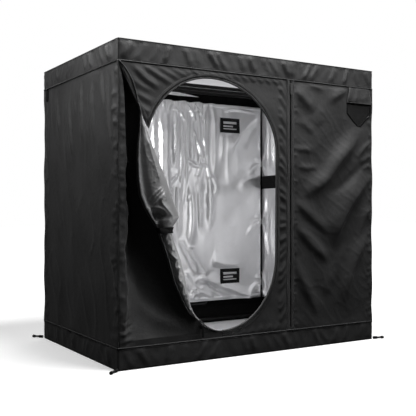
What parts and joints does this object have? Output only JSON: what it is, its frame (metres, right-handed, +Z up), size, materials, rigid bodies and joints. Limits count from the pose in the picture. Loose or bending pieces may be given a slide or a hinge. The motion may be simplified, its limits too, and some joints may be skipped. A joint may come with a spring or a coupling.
{
  "type": "printer enclosure tent",
  "caption": "Box-shaped fabric enclosure tent for a 3D printer, with a tube frame, silver liner, oval zipped door rolled to one side, side zip, vent hood and hanging bars.",
  "frame": {"origin": "centre of the rectangular footprint, on the floor", "axes": "+X along the long front side to the right as seen from the door, +Y from the door to the back, +Z up"},
  "size_m": [0.9993, 0.661, 0.89],
  "materials": {
    "cover_fabric": "black woven polyester, dull",
    "base_fabric": "black coated polyester",
    "silver_liner": "silver metallised film on cloth, semi-gloss",
    "tube_paint": "black powder coat, satin",
    "joint_plastic": "black moulded nylon",
    "webbing": "black ribbed webbing",
    "binding": "black bound edge tape",
    "zip_tape": "black zip tape",
    "zip_teeth": "black nylon coil",
    "zip_metal": "black enamelled metal",
    "vent_mesh": "black net",
    "patch_fabric": "plain black cloth patch",
    "peg_paint": "black painted steel"
  },
  "bodies": {
    "tent": {"back_panel": "cover_fabric", "bottom_band": "cover_fabric", "bottom_rail_back": "tube_paint", "bottom_rail_front": "tube_paint", "bottom_rail_left": "tube_paint", "bottom_rail_right": "tube_paint", "cable_port_binding": "binding", "corner_joints_bottom": "joint_plastic", "corner_joints_top": "joint_plastic", "door_web": "cover_fabric", "door_zip_slider": "zip_metal", "door_zip_tape": "zip_tape", "floor_mat": "silver_liner", "floor_panel": "base_fabric", "floor_tray": "base_fabric", "front_panel": "cover_fabric", "ground_pegs": "peg_paint", "hang_loop": "webbing", "label_patches": "patch_fabric", "left_panel": "cover_fabric", "liner_back": "silver_liner", "liner_front": "silver_liner", "liner_left": "silver_liner", "liner_right": "silver_liner", "liner_roof": "silver_liner", "opening_binding": "binding", "peg_loops": "webbing", "pole_ties": "silver_liner", "post_back_left": "tube_paint", "post_back_right": "tube_paint", "post_front_left": "tube_paint", "post_front_right": "tube_paint", "right_panel": "cover_fabric", "roof_panel": "cover_fabric", "side_front_panel": "cover_fabric", "side_wall_strap": "webbing", "side_zip_stop": "zip_metal", "side_zip_tapes": "zip_tape", "side_zip_teeth": "zip_teeth", "top_band": "cover_fabric", "top_rail_back": "tube_paint", "top_rail_front": "tube_paint", "top_rail_left": "tube_paint", "top_rail_right": "tube_paint", "vent_mesh": "vent_mesh", "vent_piping": "binding"},
    "door_roll_body": {"door_roll": "silver_liner", "flap_zip_tape": "zip_tape", "tie_back_strap": "webbing"},
    "side_slider_body": {"side_zip_slider": "zip_metal"},
    "side_pull_body": {"side_zip_pull": "zip_metal"},
    "door_pull_body": {"door_zip_pull": "zip_metal"},
    "hood_body": {"vent_hood": "cover_fabric"},
    "port_flap_body": {"cable_port_flap": "cover_fabric"},
    "front_bar_body": {"hanging_bar_front": "tube_paint", "hanging_bar_front_hooks": "joint_plastic"},
    "rear_bar_body": {"hanging_bar_rear": "tube_paint", "hanging_bar_rear_hooks": "joint_plastic"}
  },
  "joints": [
    {"name": "door_roll_swing", "type": "hinge", "parent": "tent", "child": "door_roll_body", "pos_m": [-0.213, -0.298, 0.116], "axis": [-0.325, 0, 0.9457], "range_deg": [0, 95]},
    {"name": "side_slider_slide", "type": "slide", "parent": "tent", "child": "side_slider_body", "axis": [0, 0, 1], "range_m": [-0.735, 0]},
    {"name": "side_pull_swing", "type": "hinge", "parent": "side_slider_body", "child": "side_pull_body", "pos_m": [0.1185, -0.2999, 0.8164], "axis": [-1, 0, 0], "range_deg": [0, 150]},
    {"name": "door_pull_swing", "type": "hinge", "parent": "tent", "child": "door_pull_body", "pos_m": [-0.202, -0.3045, 0.0994], "axis": [-1, 0, 0], "range_deg": [0, 110]},
    {"name": "hood_lift", "type": "hinge", "parent": "tent", "child": "hood_body", "pos_m": [0.402, -0.2976, 0.827], "axis": [-1, 0, 0], "range_deg": [0, 120]},
    {"name": "port_flap_lift", "type": "hinge", "parent": "tent", "child": "port_flap_body", "pos_m": [0.14, 0.2975, 0.1255], "axis": [1, 0, 0], "range_deg": [0, 130]},
    {"name": "front_bar_slide", "type": "slide", "parent": "tent", "child": "front_bar_body", "axis": [0, 1, 0], "range_m": [-0.3, 0.04]},
    {"name": "rear_bar_slide", "type": "slide", "parent": "tent", "child": "rear_bar_body", "axis": [0, 1, 0], "range_m": [-0.05, 0.012]}
  ]
}
